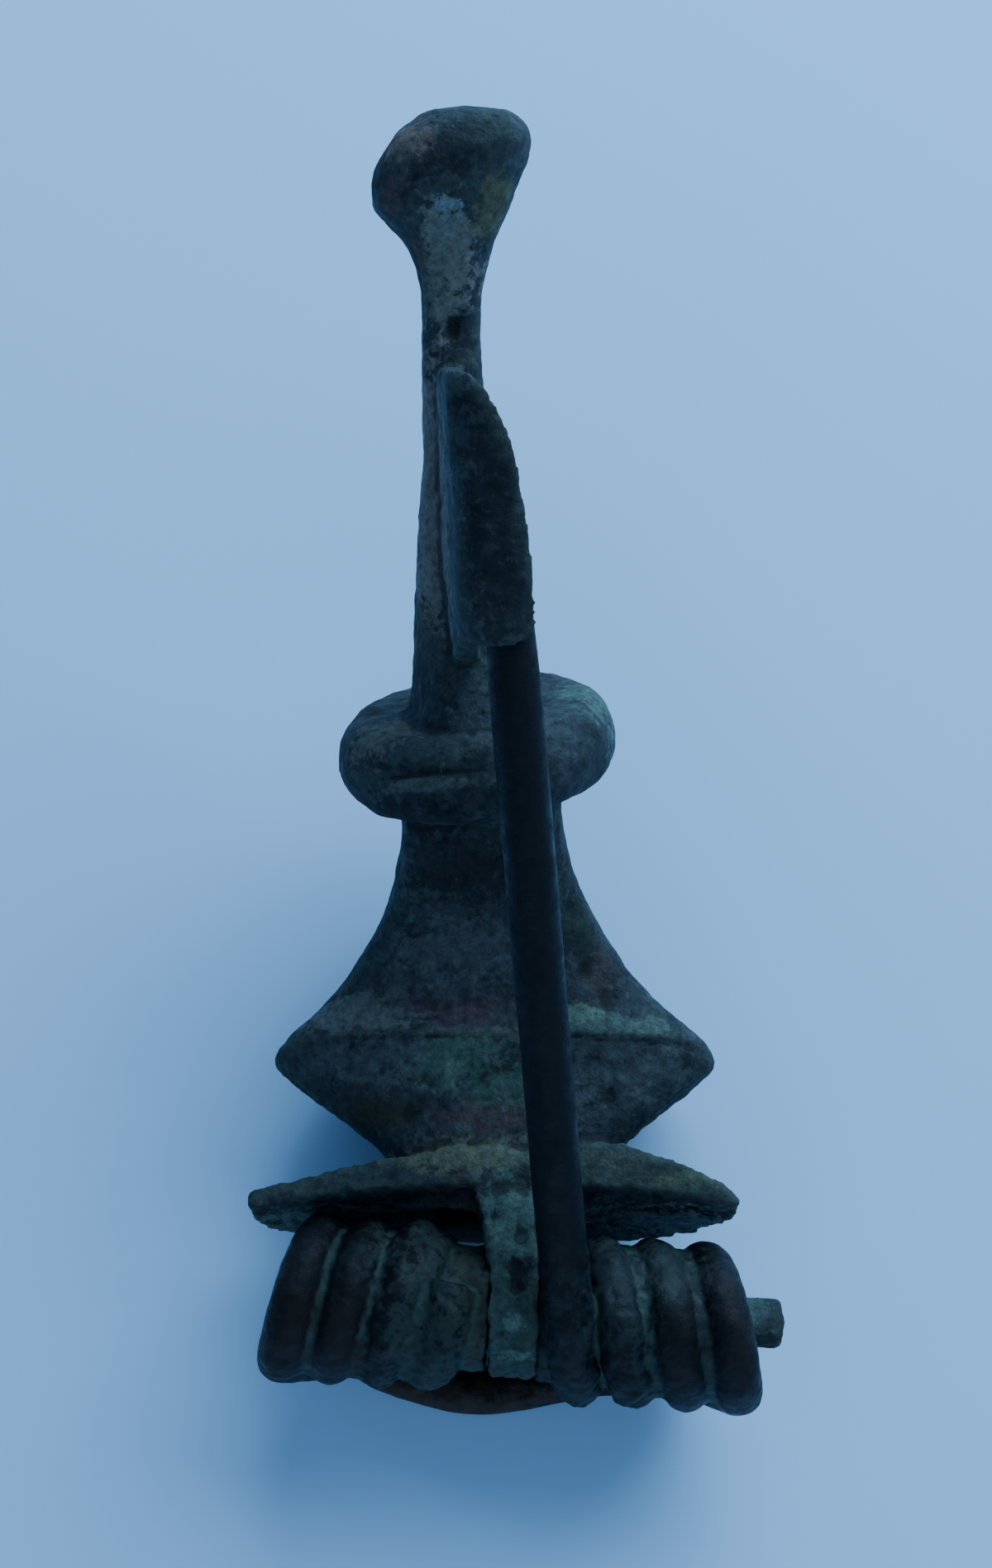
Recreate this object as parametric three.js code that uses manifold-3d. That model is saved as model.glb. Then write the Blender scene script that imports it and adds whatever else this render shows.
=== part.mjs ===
// A cast copper-alloy bow brooch (fibula) with its sprung pin, lying on its front.
// Lengths are in millimetres, +Z is up, and +Y runs from the spring to the foot.
// The spring's middle is the working origin, and the last lines move the whole
// brooch so that the middle of its underside lies at 0, 0, 0.
import * as THREE from 'three';
import { mergeVertices } from 'three/addons/utils/BufferGeometryUtils.js';
import Module from 'manifold-3d';

const wasm = await Module();
wasm.setup();

// ---------------------------------------------------------------- driving sizes
const wireRadius = 1.1;
const coilRadius = 2.7; // spring axis to the middle of the wire
const springHeight = 6; // spring axis above the table
const coilPitch = 2.46;
const springSkew = -0.06; // the spring is turned a little on its rod
const fullTurns = 3;
const rodRadius = 1.1;
const rodStub = 0.6; // how far the rod stands out of the right end
const lugHalf = 1.12;
const lugX = 0.15;
const touchGap = 0.3;

const pinRise = THREE.MathUtils.degToRad(29.3); // pin above the table plane
const leaveTurn = 0.25 + pinRise / (2 * Math.PI); // where the pin leaves its coil
const innerTurn = 0.2; // where the wire ends beside the lug
const pinLength = 38.7;
const pinTipRadius = 0.55;
const catchPin = new THREE.Vector3(-0.41, 30.16, 26); // where the pin crosses the catch

const knobCentre = new THREE.Vector2(24.9, 13.5); // along y, and up
const knobRadius = 6.3;
const knobThickness = 4;
const knobTilt = THREE.MathUtils.degToRad(33);
const knobYaw = 0.135;
const footEnd = new THREE.Vector2(45.1, 28); // the widest place of the foot knob

// How far the middle line strays to the left, along the brooch.
const strayLine = new THREE.CatmullRomCurve3([
  new THREE.Vector3(-0.1, 2, 0),
  new THREE.Vector3(-0.75, 12, 0),
  new THREE.Vector3(-1, 18, 0),
  new THREE.Vector3(-1.5, 25, 0),
  new THREE.Vector3(-2.3, 32, 0),
  new THREE.Vector3(-2.5, 38, 0),
  new THREE.Vector3(-2.5, 50, 0),
]);

// ---------------------------------------------------------------- small helpers
const lerp = THREE.MathUtils.lerp;

function strayAt(y) {
  const samples = 60;
  const line = strayAt.points ?? (strayAt.points = strayLine.getPoints(samples));
  let i = 1;
  while (i < samples && line[i].y < y) i += 1;
  const a = line[i - 1];
  const b = line[i];
  const along = THREE.MathUtils.clamp((y - a.y) / (b.y - a.y), 0, 1);
  return lerp(a.x, b.x, along);
}

function mapVertices(geometry, place) {
  const position = geometry.attributes.position;
  const point = new THREE.Vector3();
  for (let i = 0; i < position.count; i += 1) {
    point.fromBufferAttribute(position, i);
    place(point);
    position.setXYZ(i, point.x, point.y, point.z);
  }
  return geometry;
}

function weld(geometry) {
  geometry.deleteAttribute('normal');
  geometry.deleteAttribute('uv');
  const whole = mergeVertices(geometry, 1e-4);
  const index = whole.index.array;
  const position = whole.attributes.position;
  const corner = [new THREE.Vector3(), new THREE.Vector3(), new THREE.Vector3()];
  let volume = 0;
  for (let i = 0; i < index.length; i += 3) {
    corner.forEach((c, k) => c.fromBufferAttribute(position, index[i + k]));
    volume += corner[0].dot(corner[1].clone().cross(corner[2])) / 6;
  }
  if (volume < 0) {
    for (let i = 0; i < index.length; i += 3) {
      [index[i], index[i + 1]] = [index[i + 1], index[i]];
    }
  }
  return whole;
}

function toSolid(geometry) {
  const whole = weld(geometry);
  return new wasm.Manifold(new wasm.Mesh({
    numProp: 3,
    vertProperties: new Float32Array(whole.attributes.position.array),
    triVerts: new Uint32Array(whole.index.array),
  }));
}

function toGeometry(solid) {
  const mesh = solid.getMesh();
  const geometry = new THREE.BufferGeometry();
  geometry.setAttribute('position', new THREE.BufferAttribute(mesh.vertProperties, 3));
  geometry.setIndex(new THREE.BufferAttribute(mesh.triVerts, 1));
  return geometry;
}

// A capped tube whose rows and sides are placed one by one: rows run from 0 to
// rows, and place(row, angle, spread) gives the point, spread being 0 on the axis.
function placedTube(sides, rows, place) {
  const tube = new THREE.CylinderGeometry(1, 1, 1, sides, rows);
  return mapVertices(tube, (p) => {
    const row = Math.round((p.y + 0.5) * rows);
    const spread = Math.min(1, Math.hypot(p.x, p.z));
    p.copy(place(row, Math.atan2(p.z, p.x), spread));
  });
}

// ---------------------------------------------------------------- the bow's body
// Each station: y, z of the middle, tilt in degrees, half width, height above and
// below the middle, and the squareness of the upper side (2 is round).
const bodyStations = [
  [4.6, 4.4, 0, 4.6, 2.6, 2.6, 3],
  [7.3, 4.6, 0, 5.6, 3.1, 3.6, 3.4],
  [9.3, 4.4, 0, 8, 3.5, 4.2, 3.6],
  [10.9, 4.3, 0, 10.15, 3.75, 4.4, 4],
  [11.7, 4.3, 0, 10.45, 3.95, 4.45, 4.4],
  [12.7, 4.4, 0, 9.65, 4.05, 4.5, 5],
  [14.1, 4.4, 2, 8.2, 3.8, 4.55, 4.4],
  [15.4, 4.7, 5, 7.05, 3.65, 4.9, 4],
  [16.9, 5.3, 9, 6, 3.6, 5.4, 3.6],
  [18.5, 6.5, 15, 5, 3.4, 4.7, 3.2],
  [20.1, 8, 21, 4.25, 3.15, 4, 3],
  [21.8, 9.9, 27, 3.75, 2.95, 3.2, 2.8],
  [23.5, 11.9, 32, 3.65, 2.9, 2.8, 2.6],
  [24.9, 13.5, 34, 3.5, 2.8, 2.7, 2.4],
];

// The foot: distance from the bow knob to the foot knob's widest place as 0 to 1,
// half width, height above and below the middle, and how far it is turned in plan.
const footStations = [
  [0, 3.1, 5.4, 2.6, 0],
  [0.09, 2.75, 4.6, 2.4, 0],
  [0.19, 2.35, 3.2, 2.1, 0],
  [0.3, 2, 2.3, 1.9, 0],
  [0.4, 1.7, 1.9, 1.7, 0],
  [0.52, 1.4, 1.7, 1.6, 0],
  [0.66, 1.25, 1.5, 1.4, 0],
  [0.79, 1.3, 1.4, 1.4, 0],
  [0.86, 1.75, 1.6, 1.6, 0.08],
  [0.92, 2.6, 2.2, 2.2, 0.2],
  [0.975, 3.2, 2.7, 2.7, 0.3],
  [1.025, 3.15, 2.7, 2.7, 0.28],
  [1.07, 2.2, 2, 2, 0.2],
  [1.09, 0.9, 0.9, 0.9, 0.1],
];

function power(value, squareness) {
  return Math.sign(value) * Math.abs(value) ** (2 / squareness);
}

function bodySolid() {
  const sides = 36;
  const last = bodyStations.length - 1;
  return toSolid(placedTube(sides, last, (row, angle, spread) => {
    const [y, z, tilt, half, above, below, square] = bodyStations[row];
    const t = THREE.MathUtils.degToRad(tilt);
    const upper = Math.sin(angle) > 0;
    const n = upper ? square : 2.1;
    const x = spread * half * power(Math.cos(angle), n);
    const v = spread * (upper ? above : below) * power(Math.sin(angle), n);
    const along = y - v * Math.sin(t);
    return new THREE.Vector3(x + strayAt(along), along, z + v * Math.cos(t));
  }));
}

function footSolid() {
  const sides = 20;
  const run = footEnd.clone().sub(knobCentre);
  const up = new THREE.Vector2(-run.y, run.x).normalize();
  const along = run.clone().normalize();
  return toSolid(placedTube(sides, footStations.length - 1, (row, angle, spread) => {
    const [share, half, above, below, yaw] = footStations[row];
    const x = spread * half * power(Math.cos(angle), 2.3);
    const v = spread * (angle > 0 ? above : below) * power(Math.sin(angle), 2.3);
    const spot = knobCentre.clone().addScaledVector(run, share);
    spot.addScaledVector(up, v).addScaledVector(along, x * yaw);
    return new THREE.Vector3(x + strayAt(spot.x), spot.x, spot.y);
  }));
}

// A round collar with a shallow groove, turned about the bow's own line.
function knobSolid() {
  const half = knobThickness / 2;
  const profile = [new THREE.Vector2(0, -half)];
  const steps = 12;
  for (let i = 0; i <= steps; i += 1) {
    const turn = lerp(-Math.PI / 2, Math.PI / 2, i / steps);
    const groove = i === 5 ? 0.3 : 0;
    const r = knobRadius - half * 0.8 + half * 0.8 * Math.cos(turn) - groove;
    profile.push(new THREE.Vector2(r, half * Math.sin(turn)));
  }
  profile.push(new THREE.Vector2(0, half));
  const collar = new THREE.LatheGeometry(profile, 44);
  collar.rotateX(knobTilt);
  collar.rotateZ(knobYaw);
  collar.translate(strayAt(knobCentre.x), knobCentre.x, knobCentre.y);
  return toSolid(collar);
}

// ---------------------------------------------------------------- the catch
const pinRoot = new THREE.Vector3(
  lugX + lugHalf + touchGap + wireRadius,
  -coilRadius * Math.sin(pinRise),
  springHeight + coilRadius * Math.cos(pinRise),
);
const pinLine = catchPin.clone().sub(pinRoot).normalize();

// Distances along the pin from its root, and the reach of the curled lip round
// the pin, in degrees from the plate's own side.
const catchNear = 31.6;
const catchFar = 42.4;
const lipStations = [
  [0, 66],
  [0.3, 76],
  [0.53, 82],
  [0.58, 107],
  [0.66, 112],
  [0.76, 101],
  [0.85, 90],
  [0.94, 80],
  [1, 68],
];
const lipInner = 1.4;
const lipWall = 0.75;
const plateInset = 0.2; // the plate's ends and top lie this far inside the lip

function lipReach(share) {
  let i = 1;
  while (i < lipStations.length - 1 && lipStations[i][0] < share) i += 1;
  const [s0, r0] = lipStations[i - 1];
  const [s1, r1] = lipStations[i];
  return THREE.MathUtils.degToRad(lerp(r0, r1, (share - s0) / (s1 - s0)));
}

// The curled lip: a strip bent round the pin's line, thin as sheet metal.
function lipSolid() {
  const strip = new THREE.BoxGeometry(1, 1, 1, 9, 24, 1);
  const side = new THREE.Vector3(-1, 0, 0);
  const up = new THREE.Vector3().crossVectors(pinLine, side).normalize();
  if (up.z < 0) up.negate();
  return toSolid(mapVertices(strip, (p) => {
    const share = p.y + 0.5;
    const spot = pinRoot.clone().addScaledVector(pinLine, lerp(catchNear, catchFar, share));
    const turn = (p.x + 0.5) * lipReach(share);
    const r = lipInner + (p.z + 0.5) * lipWall;
    spot.addScaledVector(side, r * Math.cos(turn)).addScaledVector(up, r * Math.sin(turn));
    p.copy(spot);
  }));
}

// The plate between the foot and the lip.
function catchPlateSolid() {
  const plate = new THREE.BoxGeometry(1, 1, 1, 1, 12, 6);
  const run = footEnd.clone().sub(knobCentre);
  return toSolid(mapVertices(plate, (p) => {
    const share = p.y + 0.5;
    const rise = p.z + 0.5;
    const along = lerp(catchNear + plateInset, catchFar - plateInset, share);
    const top = pinRoot.clone().addScaledVector(pinLine, along);
    top.x -= lipInner + lipWall / 2;
    top.z += plateInset;
    const foot = knobCentre.clone().addScaledVector(run, lerp(0.13, 0.68, share));
    const base = new THREE.Vector3(strayAt(foot.x) - 0.2, foot.x, foot.y);
    const wall = lerp(1.3, lipWall - plateInset, rise);
    p.set(p.x * wall, 0, 0).add(base.lerp(top, rise));
  }));
}

// ---------------------------------------------------------------- head end
const wing = { left: -11.9, right: 10.5, ridgeY: 5.8, ridgeZ: 8, footY: 3.2, wall: 1.25 };

// The support plate: straight on the side of the spring's back, curved in front,
// leaning over the spring, and thinning towards its ends.
function wingSolid() {
  const plate = new THREE.BoxGeometry(1, 1, 1, 28, 5, 2);
  return toSolid(mapVertices(plate, (p) => {
    const x = lerp(wing.left, wing.right, p.x + 0.5);
    const blunt = x < 0 ? 12.4 : 10.62;
    const drop = Math.sqrt(Math.max(0.012, 1 - (Math.abs(x) / blunt) ** 2.1));
    const down = (0.5 - p.y) * drop * (wing.ridgeZ + 0.3);
    const lean = (wing.ridgeY - wing.footY) / wing.ridgeZ;
    const tip = Math.abs(x) / blunt;
    const wall = wing.wall * (1 - 0.75 * tip ** 2);
    const sag = 1.1 * tip ** 2;
    p.set(x, wing.ridgeY - sag - down * lean + (p.z + 0.5) * wall, wing.ridgeZ - 0.15 * tip - down);
  }));
}

function lugSolid() {
  const eye = new THREE.CylinderGeometry(2.8, 2.8, 2 * lugHalf, 28);
  eye.rotateZ(Math.PI / 2);
  eye.translate(0, 0, springHeight);
  const outline = new THREE.Shape([
    new THREE.Vector2(1.4, 8.35),
    new THREE.Vector2(5.4, 8.2),
    new THREE.Vector2(7.6, 7.4),
    new THREE.Vector2(7.6, 2.4),
    new THREE.Vector2(4.4, 1.6),
    new THREE.Vector2(1.2, 3.3),
  ]);
  const stripInset = 0.05;
  const depth = 2 * (lugHalf - stripInset);
  const strip = new THREE.ExtrudeGeometry(outline, { depth, bevelEnabled: false });
  strip.applyMatrix4(new THREE.Matrix4().makeBasis(
    new THREE.Vector3(0, 1, 0),
    new THREE.Vector3(0, 0, 1),
    new THREE.Vector3(1, 0, 0),
  ));
  strip.translate(-lugHalf + stripInset, 0, 0);
  const bore = new THREE.CylinderGeometry(rodRadius + touchGap, rodRadius + touchGap, 8, 20);
  bore.rotateZ(Math.PI / 2);
  bore.translate(0, 0, springHeight);
  [eye, strip, bore].forEach((shape) => shape.translate(lugX, 0, 0));
  return toSolid(eye).add(toSolid(strip)).subtract(toSolid(bore));
}

function boxSolid(min, max) {
  const size = max.map((v, i) => v - min[i]);
  const box = new THREE.BoxGeometry(...size);
  box.translate(...min.map((v, i) => v + size[i] / 2));
  return toSolid(box);
}

// ---------------------------------------------------------------- the bow, one casting
function bowGeometry() {
  let cast = bodySolid().add(knobSolid()).add(footSolid());
  cast = cast.add(catchPlateSolid()).add(lipSolid());
  const pocket = boxSolid([-3.3, 2, 2.6], [lugX - lugHalf + 0.3, 7.2, 6.4]);
  cast = cast.add(wingSolid()).subtract(pocket).add(lugSolid());
  const ground = boxSolid([-40, -40, -20], [40, 80, 0]);
  return toGeometry(cast.subtract(ground));
}

// ---------------------------------------------------------------- spring and pin, one wire
function coilPoint(side, turn) {
  const start = lugHalf + touchGap + wireRadius;
  const x = side * (start + coilPitch * (turn - (side > 0 ? leaveTurn : innerTurn))) + lugX;
  const angle = turn * 2 * Math.PI;
  const y = coilRadius * Math.cos(angle);
  return new THREE.Vector3(
    x,
    y + springSkew * (x - lugX),
    springHeight + coilRadius * Math.sin(angle),
  );
}

function wirePoints() {
  const points = [];
  const stepsPerTurn = 20;
  const outer = fullTurns + 0.47;
  const pinSteps = 16;
  for (let i = pinSteps; i >= 1; i -= 1) {
    points.push(pinRoot.clone().addScaledVector(pinLine, (pinLength * i) / pinSteps));
  }
  const turnSteps = Math.round((outer - leaveTurn) * stepsPerTurn);
  for (let i = 0; i <= turnSteps; i += 1) {
    points.push(coilPoint(1, lerp(leaveTurn, outer, i / turnSteps)));
  }
  points.push(...chordPoints(outer));
  const backSteps = Math.round((outer - innerTurn) * stepsPerTurn);
  for (let i = 0; i <= backSteps; i += 1) {
    points.push(coilPoint(-1, lerp(outer, innerTurn, i / backSteps)));
  }
  return points;
}

// The chord crosses from one end of the spring to the other, below its outer side.
function chordPoints(outer) {
  const reach = 6.6;
  const y = -2.9;
  const z = springHeight - 4.25;
  const bend = 2.3;
  const points = [];
  const ends = [1, -1].map((side) => {
    const from = coilPoint(side, outer);
    const to = new THREE.Vector3(side * reach + lugX, y + springSkew * side * reach, z);
    const out = coilPoint(side, outer + 0.001).sub(from).normalize();
    return new THREE.CubicBezierCurve3(
      from,
      from.clone().addScaledVector(out, bend),
      to.clone().add(new THREE.Vector3(side * bend, -0.1, -0.1)),
      to,
    );
  });
  const rightEnd = ends[0].getPoints(7).slice(1);
  const leftEnd = ends[1].getPoints(7).slice(1).reverse();
  points.push(...rightEnd);
  const steps = 8;
  for (let i = 1; i < steps; i += 1) {
    const p = rightEnd.at(-1).clone().lerp(leftEnd[0], i / steps);
    p.y -= 0.35 * Math.sin((Math.PI * i) / steps);
    points.push(p);
  }
  points.push(...leftEnd);
  return points;
}

function wireGeometry() {
  const path = new THREE.CatmullRomCurve3(wirePoints(), false, 'centripetal');
  path.arcLengthDivisions = 1200;
  const rows = 236;
  const sides = 8;
  const frames = path.computeFrenetFrames(rows, false);
  const spots = path.getSpacedPoints(rows);
  const total = path.getLength();
  const tube = placedTube(sides, rows, (row, angle, spread) => {
    const fromTip = (row / rows) * total;
    const taper = THREE.MathUtils.smoothstep(fromTip, 0, 12);
    const r = spread * lerp(pinTipRadius, wireRadius, taper);
    return spots[row].clone()
      .addScaledVector(frames.normals[row], r * Math.cos(angle))
      .addScaledVector(frames.binormals[row], r * Math.sin(angle));
  });
  return weld(tube);
}

function rodGeometry() {
  const right = coilPoint(1, fullTurns + 0.6).x + wireRadius + rodStub;
  const left = coilPoint(-1, fullTurns + 0.1).x;
  const rod = new THREE.CylinderGeometry(rodRadius, rodRadius, right - left, 16);
  rod.rotateZ(Math.PI / 2);
  rod.translate((right + left) / 2, 0, 0);
  rod.rotateZ(springSkew * 0.3);
  rod.translate(0, 0, springHeight);
  return weld(rod);
}

// ---------------------------------------------------------------- the scene graph
function piece(name, geometry, colour, roughness, metalness) {
  geometry.computeVertexNormals();
  const material = new THREE.MeshStandardMaterial({ color: colour, roughness, metalness });
  const mesh = new THREE.Mesh(geometry, material);
  mesh.name = name;
  return mesh;
}

const brooch = new THREE.Group();
brooch.add(piece('bow', bowGeometry(), 0x4b5a55, 0.7, 0.45));
brooch.add(piece('spring_pin', wireGeometry(), 0x3a3a33, 0.55, 0.55));
brooch.add(piece('spring_rod', rodGeometry(), 0x4f6460, 0.8, 0.35));

const reach = new THREE.Box3().setFromObject(brooch);
const middle = reach.getCenter(new THREE.Vector3());
brooch.position.set(-middle.x, -middle.y, -reach.min.z);
brooch.updateMatrixWorld(true);

export default brooch;
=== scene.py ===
import math

import bmesh
import bpy
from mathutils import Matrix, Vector, noise


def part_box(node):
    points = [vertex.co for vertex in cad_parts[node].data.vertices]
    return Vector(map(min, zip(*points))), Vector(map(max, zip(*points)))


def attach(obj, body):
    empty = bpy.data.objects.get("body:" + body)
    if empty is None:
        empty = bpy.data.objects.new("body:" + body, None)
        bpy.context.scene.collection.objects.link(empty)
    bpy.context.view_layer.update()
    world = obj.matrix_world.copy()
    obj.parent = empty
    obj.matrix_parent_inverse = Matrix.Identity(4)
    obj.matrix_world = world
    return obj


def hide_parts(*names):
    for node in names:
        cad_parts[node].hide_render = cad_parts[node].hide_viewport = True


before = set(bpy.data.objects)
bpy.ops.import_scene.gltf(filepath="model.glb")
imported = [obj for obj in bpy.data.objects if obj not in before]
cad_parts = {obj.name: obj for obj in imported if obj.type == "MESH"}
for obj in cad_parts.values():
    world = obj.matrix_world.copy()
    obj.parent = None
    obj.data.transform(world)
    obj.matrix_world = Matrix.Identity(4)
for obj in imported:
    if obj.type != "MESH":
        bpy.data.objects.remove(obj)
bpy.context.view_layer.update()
mm = 0.001
print("brooch frame loaded")

# The brooch is laid out in millimetres from the middle of its spring, at table
# height: x along the spring, y towards the foot, z up. at() gives the place in metres.
layout = {"shiftX": -0.264, "shiftY": -21.611}


def at(x, y, z):
    return Vector(((x + layout["shiftX"]) * mm, (y + layout["shiftY"]) * mm, z * mm))


# The way back: a place in metres, given in the brooch's own millimetres.
def fromMiddle(spot):
    return spot / mm - Vector((layout["shiftX"], layout["shiftY"], 0))


viewpoint = {"x": -0.642, "y": 1.409, "z": 94.376, "tilt": 15, "lens": 42.7}

bpy.ops.object.camera_add(
    location=at(viewpoint["x"], viewpoint["y"], viewpoint["z"]),
    rotation=(math.radians(viewpoint["tilt"]), 0, 0),
)
camera = bpy.context.object
camera.name = "camera"
camera.data.lens = viewpoint["lens"]
camera.data.sensor_width = 36
camera.data.clip_start = 0.002
camera.data.clip_end = 10
bpy.context.scene.camera = camera
print("camera set")


def mix(a, b, t):
    return a + (b - a) * t


def ease(low, high, value):
    t = min(1, max(0, (value - low) / (high - low)))
    return t * t * (3 - 2 * t)


def clearSelection():
    if bpy.context.object and bpy.context.object.mode != "OBJECT":
        bpy.ops.object.mode_set(mode="OBJECT")
    bpy.ops.object.select_all(action="DESELECT")


def choose(piece):
    clearSelection()
    piece.select_set(True)
    bpy.context.view_layer.objects.active = piece


def settle(piece):
    choose(piece)
    bpy.ops.object.transform_apply(location=True, rotation=True, scale=True)


def applyModifier(piece, kind, **values):
    choose(piece)
    modifier = piece.modifiers.new(kind.lower(), kind)
    for key, value in values.items():
        setattr(modifier, key, value)
    bpy.ops.object.modifier_apply(modifier=modifier.name)


def joinAll(pieces, name):
    clearSelection()
    for piece in pieces:
        piece.select_set(True)
    bpy.context.view_layer.objects.active = pieces[0]
    bpy.ops.object.join()
    pieces[0].name = name
    pieces[0].data.name = name
    return pieces[0]


def cutAway(piece, cutter):
    applyModifier(piece, "BOOLEAN", operation="DIFFERENCE", solver="EXACT", object=cutter)
    bpy.data.objects.remove(cutter)


def recalculate(piece):
    choose(piece)
    bpy.ops.object.mode_set(mode="EDIT")
    bpy.ops.mesh.select_all(action="SELECT")
    bpy.ops.mesh.remove_doubles(threshold=0.002 * mm)
    bpy.ops.mesh.normals_make_consistent(inside=False)
    bpy.ops.object.mode_set(mode="OBJECT")


# One row between the rows of a table, on a smooth curve near them.
def rowAt(table, t):
    i = min(len(table) - 2, int(t))
    f = t - i
    rows = [table[max(0, min(len(table) - 1, i + k))] for k in (-1, 0, 1, 2)]
    found = []
    for a, b, c, d in zip(*rows):
        curve = 0.5 * (
            2 * b + (c - a) * f + (2 * a - 5 * b + 4 * c - d) * f * f
            + (3 * b - a - 3 * c + d) * f ** 3
        )
        found.append(mix(mix(b, c, f), curve, 0.8))
    return found


# Makes one even skin of shells that overlap, then softens it.
def fuse(piece, grain, smooth):
    applyModifier(piece, "REMESH", mode="VOXEL", voxel_size=grain * mm, adaptivity=0)
    applyModifier(piece, "SMOOTH", factor=0.5, iterations=smooth)


# A closed tube, drawn out ring by ring from a round disc. fit(t, turn) gives each point.
def drawOut(name, sides, rings, steps, fit):
    clearSelection()
    bpy.ops.mesh.primitive_circle_add(
        vertices=sides, radius=mm, fill_type="NGON", rotation=(math.pi / 2, 0, 0)
    )
    piece = bpy.context.object
    piece.name = name
    settle(piece)
    bpy.ops.object.mode_set(mode="EDIT")
    mesh = bmesh.from_edit_mesh(piece.data)
    turn = mesh.verts.layers.float.new("turn")
    for v in mesh.verts:
        v[turn] = math.atan2(v.co.z, v.co.x)
    bmesh.update_edit_mesh(piece.data)
    total = (rings - 1) * steps
    for i in range(total + 1):
        if i:
            bpy.ops.mesh.extrude_region_move(TRANSFORM_OT_translate={"value": (0, mm, 0)})
        mesh = bmesh.from_edit_mesh(piece.data)
        turn = mesh.verts.layers.float["turn"]
        for v in mesh.verts:
            if v.select:
                v.co = fit(i / steps, v[turn])
        bmesh.update_edit_mesh(piece.data)
    bpy.ops.object.mode_set(mode="OBJECT")
    recalculate(piece)
    return piece


# A box cut into small faces, each of its points then moved by place(u, v, w), 0 to 1.
def bendBox(name, cuts, place):
    clearSelection()
    bpy.ops.mesh.primitive_cube_add(size=1, location=(0.5, 0.5, 0.5))
    piece = bpy.context.object
    piece.name = name
    settle(piece)
    bpy.ops.object.mode_set(mode="EDIT")
    for axis, count in enumerate(cuts):
        for k in range(1, count):
            bpy.ops.mesh.select_all(action="SELECT")
            spot = [0, 0, 0]
            spot[axis] = k / count
            normal = [0, 0, 0]
            normal[axis] = 1
            bpy.ops.mesh.bisect(plane_co=spot, plane_no=normal)
    mesh = bmesh.from_edit_mesh(piece.data)
    for v in mesh.verts:
        v.co = place(*v.co)
    bmesh.update_edit_mesh(piece.data)
    bpy.ops.object.mode_set(mode="OBJECT")
    recalculate(piece)
    return piece


# A cylinder lying along the spring; its radius is in millimetres, its length in metres.
def lyingCylinder(radius, length, middle, sides, slant=0):
    clearSelection()
    bpy.ops.mesh.primitive_cylinder_add(
        vertices=sides, radius=radius * mm, depth=length, location=middle,
        rotation=(0, math.pi / 2, slant),
    )
    cylinder = bpy.context.object
    settle(cylinder)
    return cylinder


def squarer(value, squareness):
    return math.copysign(abs(value) ** (2 / squareness), value)


# How far the middle line strays to the left: y, stray.
strayLine = [
    (2, -0.1), (12, -0.75), (18, -1), (25, -1.5), (32, -2.3), (38, -2.5), (50, -2.5),
]


def strayAt(y):
    for (y0, x0), (y1, x1) in zip(strayLine, strayLine[1:]):
        if y <= y1:
            return mix(x0, x1, min(1, max(0, (y - y0) / (y1 - y0))))
    return strayLine[-1][1]


# y, z, tilt, half width, height above and below, squareness of the upper side.
head = {
    "sides": 64,
    "steps": 5,
    "stations": [
        (4.6, 4.4, 0, 4.6, 2.6, 2.6, 3),
        (7.3, 4.6, 0, 5.6, 3.1, 3.6, 3.4),
        (9.3, 4.4, 0, 8, 3.5, 4.2, 3.6),
        (10.9, 4.3, 0, 10.15, 3.75, 4.4, 4),
        (11.7, 4.3, 0, 10.45, 3.95, 4.45, 4.4),
        (12.7, 4.4, 0, 9.65, 4.05, 4.5, 5),
        (14.1, 4.4, 2, 8.2, 3.8, 4.55, 4.4),
        (15.4, 4.7, 5, 7.05, 3.65, 4.9, 4),
        (16.9, 5.3, 9, 6, 3.6, 5.4, 3.6),
        (18.5, 6.5, 15, 5, 3.4, 4.7, 3.2),
        (20.1, 8, 21, 4.25, 3.15, 4, 3),
        (21.8, 9.9, 27, 3.75, 2.95, 3.2, 2.8),
        (23.5, 11.9, 32, 3.65, 2.9, 2.8, 2.6),
        (24.9, 13.5, 34, 3.5, 2.8, 2.7, 2.4),
    ],
}


def fitHead(t, turn):
    y, z, tilt, half, above, below, square = rowAt(head["stations"], t)
    lean = math.radians(tilt)
    upper = math.sin(turn) > 0
    n = square if upper else 2.1
    x = half * squarer(math.cos(turn), n)
    v = (above if upper else below) * squarer(math.sin(turn), n)
    along = y - v * math.sin(lean)
    return at(x + strayAt(along), along, z + v * math.cos(lean))


headPiece = drawOut("head", head["sides"], len(head["stations"]), head["steps"], fitHead)

# Share of the way from the bow knob to the foot knob, half width, above, below, turn.
foot = {
    "start": (24.9, 13.5),
    "end": (45.1, 28),
    "sides": 40,
    "steps": 5,
    "stations": [
        (0, 3.1, 5.4, 2.6, 0),
        (0.09, 2.75, 4.6, 2.4, 0),
        (0.19, 2.35, 3.2, 2.1, 0),
        (0.3, 2, 2.3, 1.9, 0),
        (0.4, 1.7, 1.9, 1.7, 0),
        (0.52, 1.4, 1.7, 1.6, 0),
        (0.66, 1.25, 1.5, 1.4, 0),
        (0.79, 1.3, 1.4, 1.4, 0),
        (0.86, 1.6, 1.5, 1.6, 0.08),
        (0.92, 2.4, 2.1, 2.2, 0.2),
        (0.975, 3.2, 2.7, 2.7, 0.3),
        (1.025, 3.15, 2.7, 2.7, 0.28),
        (1.07, 2.2, 2, 2, 0.2),
        (1.09, 0.9, 0.9, 0.9, 0.1),
    ],
}


def footSpot(share, up, along=0):
    (y0, z0), (y1, z1) = foot["start"], foot["end"]
    length = math.hypot(y1 - y0, z1 - z0)
    dy, dz = (y1 - y0) / length, (z1 - z0) / length
    reach = share * length + along
    return y0 + dy * reach - dz * up, z0 + dz * reach + dy * up


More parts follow.
